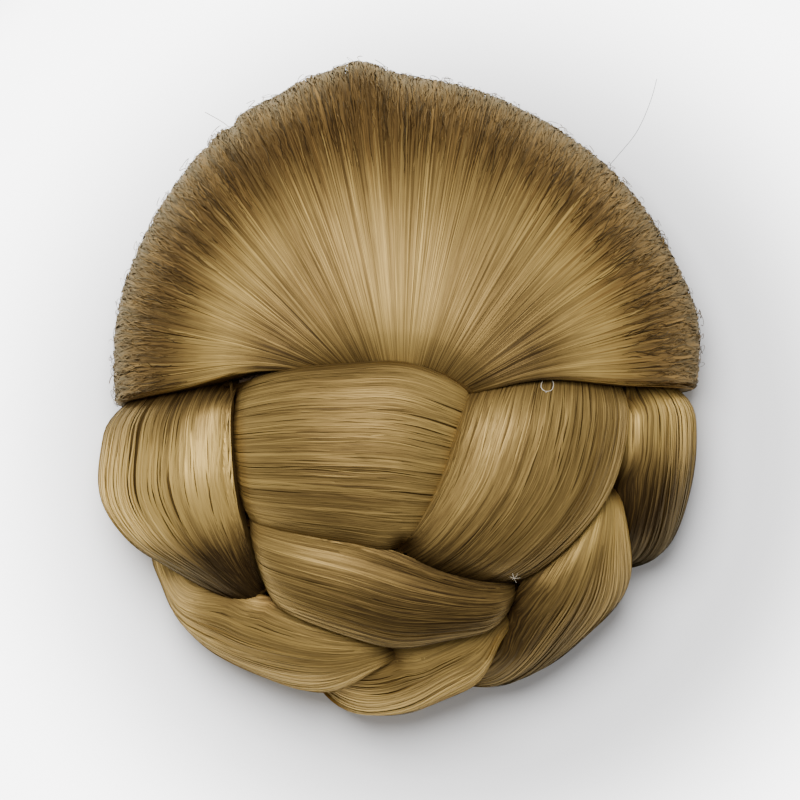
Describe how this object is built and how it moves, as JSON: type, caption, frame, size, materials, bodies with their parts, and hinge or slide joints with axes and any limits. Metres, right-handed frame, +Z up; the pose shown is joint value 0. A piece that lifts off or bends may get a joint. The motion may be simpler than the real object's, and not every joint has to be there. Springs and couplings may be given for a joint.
{
  "type": "braided top knot hairpiece",
  "caption": "Hollow dome of synthetic hair, fanned over one half and laid as a thick braid over the other, on a net cap with grip combs.",
  "frame": {"origin": "middle of the outline, at the height of the cap's flat hem, which the piece rests on", "axes": "+Z up out of the crown, +Y towards the fan's rim, +X to the right of the braid seen from above"},
  "size_m": [0.1218, 0.1313, 0.0525],
  "materials": {
    "hair": "satin golden blond fibre",
    "cap_net": "matt stretch net",
    "comb_plastic": "smooth"
  },
  "bodies": {
    "root": {"crown_fan": "hair", "braid_lock_1": "hair", "braid_lock_2": "hair", "braid_lock_3": "hair", "braid_lock_4": "hair", "braid_lock_5": "hair", "lower_lock_left": "hair", "side_lock_left": "hair", "side_lock_right": "hair", "foundation_cap": "cap_net", "comb_upper": "comb_plastic", "comb_lower": "comb_plastic"}
  },
  "joints": []
}
